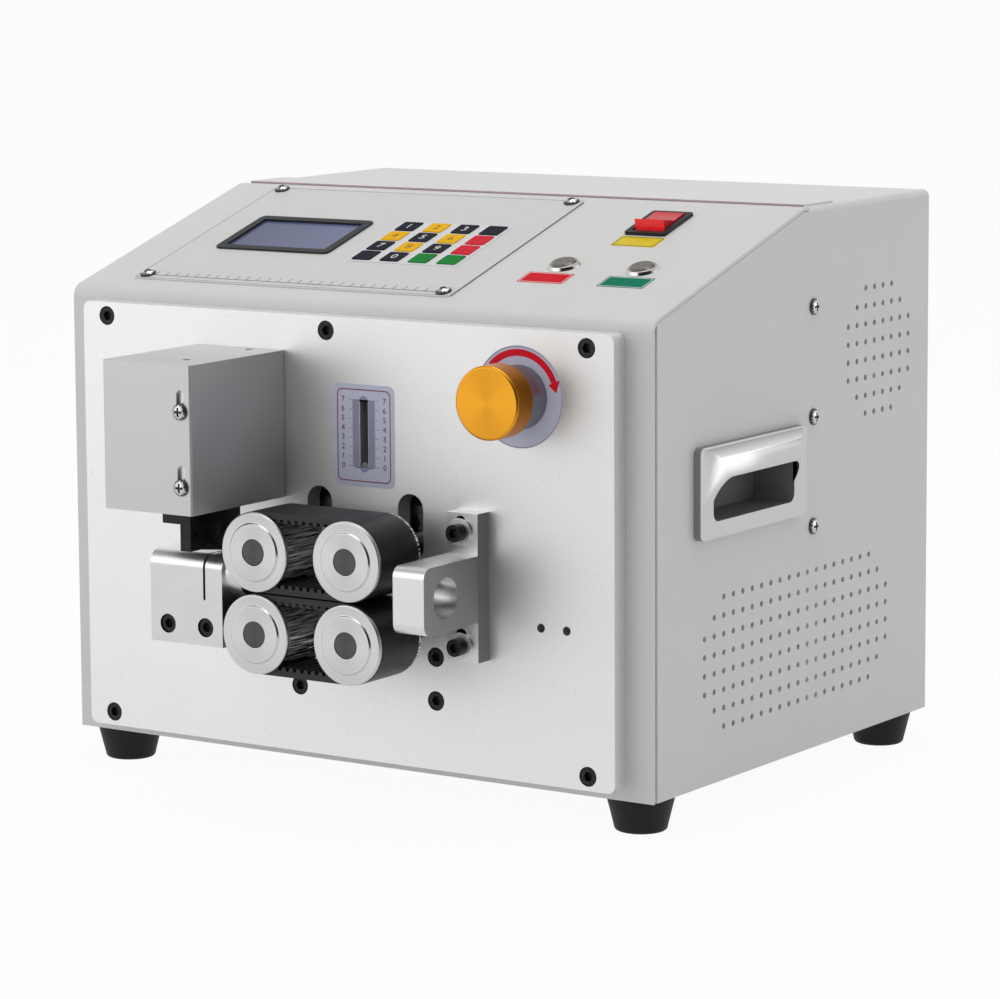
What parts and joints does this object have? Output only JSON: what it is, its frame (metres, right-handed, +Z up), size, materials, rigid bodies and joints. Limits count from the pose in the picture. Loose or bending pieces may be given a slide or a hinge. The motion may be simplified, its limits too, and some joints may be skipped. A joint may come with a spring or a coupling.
{
  "type": "tube cutting machine",
  "caption": "Bench machine that feeds soft tube between toothed belt rollers and cuts it with a guillotine blade; a sloped panel holds display, keypad, switch and buttons.",
  "frame": {"origin": "on the bench, below the middle of the machine's overall box", "axes": "+X to the right as seen from the front, +Y towards the back, +Z up; the tube enters from +X and leaves to -X"},
  "size_m": [0.422, 0.4207, 0.3353],
  "materials": {
    "painted": "satin",
    "plate": "satin",
    "steel": "satin",
    "plated": "polished",
    "black_steel": "satin",
    "guard": "satin",
    "gold": "satin",
    "rubber": "matte",
    "black_plastic": "satin",
    "red_plastic": "gloss",
    "overlay": "satin",
    "display": "gloss",
    "keys": "satin",
    "motor": "satin",
    "board": "satin"
  },
  "bodies": {
    "machine": {"chassis": "painted", "front_panel": "painted", "cover": "painted", "pan_screws": "plated", "feet": "rubber", "handle_right": "plated", "handle_left": "plated", "power_inlet": "black_plastic", "control_overlay": "overlay", "display_bezel": "black_plastic", "display_glass": "display", "keypad": "keys", "switch_frame": "black_plastic", "button_rims": "plated", "front_plate": "plate", "socket_screws": "black_steel", "outlet_block": "plate", "inlet_guide": "plate", "guide_fasteners": "steel", "cutter_guard": "guard", "guard_bracket": "plate", "blade_rail": "steel", "cutter_motor": "motor", "knob_collar": "plate", "guide_posts": "steel", "press_springs": "steel", "lower_block": "plate", "lower_motor": "motor", "lower_bearings": "steel", "lower_belt": "rubber", "power_supply": "plate", "controller_board": "board"},
    "carriage": {"upper_carriage": "plate", "scale_pointer": "steel", "upper_motor": "motor", "upper_bearings": "steel", "upper_belt": "rubber"},
    "lift_knob": {"lift_knob": "gold", "lift_shaft": "steel"},
    "roller_lower_left": {"shaft_lower_left": "steel", "core_lower_left": "plate", "flange_lower_left": "plate"},
    "roller_lower_right": {"shaft_lower_right": "steel", "core_lower_right": "plate", "flange_lower_right": "plate", "lower_coupling": "plate"},
    "roller_upper_left": {"shaft_upper_left": "steel", "core_upper_left": "plate", "flange_upper_left": "plate", "upper_coupling": "plate"},
    "roller_upper_right": {"shaft_upper_right": "steel", "core_upper_right": "plate", "flange_upper_right": "plate"},
    "cutter": {"slide_block": "steel", "blade_holder": "black_steel", "blade": "steel"},
    "cutter_pinion": {"cutter_pinion": "steel"},
    "power_rocker": {"power_rocker": "red_plastic"},
    "stop_button": {"stop_button": "plated"},
    "start_button": {"start_button": "plated"}
  },
  "joints": [
    {"name": "carriage_lift", "type": "slide", "parent": "machine", "child": "carriage", "axis": [0, 0, 1], "range_m": [0, 0.02], "stiffness_N_per_m": 500, "springref_m": -0.01, "deforming": ["press_springs"]},
    {"name": "knob_turn", "type": "hinge", "parent": "machine", "child": "lift_knob", "pos_m": [0.122, -0.1076, 0.2404], "axis": [0, 1, 0], "range_deg": [0, 115]},
    {"name": "lower_right_spin", "type": "hinge", "parent": "machine", "child": "roller_lower_right", "pos_m": [0.0492, -0.1076, 0.1052], "axis": [0, 1, 0], "continuous": true, "deforming": ["lower_belt"]},
    {"name": "lower_left_spin", "type": "hinge", "parent": "machine", "child": "roller_lower_left", "pos_m": [-0.0133, -0.1076, 0.1052], "axis": [0, 1, 0], "continuous": true, "deforming": ["lower_belt"]},
    {"name": "upper_left_spin", "type": "hinge", "parent": "carriage", "child": "roller_upper_left", "pos_m": [-0.0133, -0.1076, 0.15151], "axis": [0, 1, 0], "continuous": true, "deforming": ["upper_belt"]},
    {"name": "upper_right_spin", "type": "hinge", "parent": "carriage", "child": "roller_upper_right", "pos_m": [0.0492, -0.1076, 0.15151], "axis": [0, 1, 0], "continuous": true, "deforming": ["upper_belt"]},
    {"name": "blade_stroke", "type": "slide", "parent": "machine", "child": "cutter", "axis": [0, 0, -1], "range_m": [0, 0.023]},
    {"name": "pinion_turn", "type": "hinge", "parent": "machine", "child": "cutter_pinion", "pos_m": [-0.0751, -0.1076, 0.213], "axis": [0, 1, 0], "range_deg": [0, 110]},
    {"name": "rocker_tilt", "type": "hinge", "parent": "machine", "child": "power_rocker", "pos_m": [0.1245, 0.02467, 0.3199], "axis": [1, 0, 0], "range_deg": [0, 22]},
    {"name": "stop_press", "type": "slide", "parent": "machine", "child": "stop_button", "axis": [0, 0.29, -0.957], "range_m": [0, 0.0025], "stiffness_N_per_m": 800, "springref_m": -0.001},
    {"name": "start_press", "type": "slide", "parent": "machine", "child": "start_button", "axis": [0, 0.29, -0.957], "range_m": [0, 0.0025], "stiffness_N_per_m": 800, "springref_m": -0.001}
  ],
  "couplings": [
    {"joint": "knob_turn", "follows": "carriage_lift", "rad_per_m": 100},
    {"joint": "lower_left_spin", "follows": "lower_right_spin", "ratio": 1},
    {"joint": "upper_left_spin", "follows": "lower_right_spin", "ratio": -1},
    {"joint": "upper_right_spin", "follows": "lower_right_spin", "ratio": -1},
    {"joint": "pinion_turn", "follows": "blade_stroke", "rad_per_m": 83.333}
  ]
}
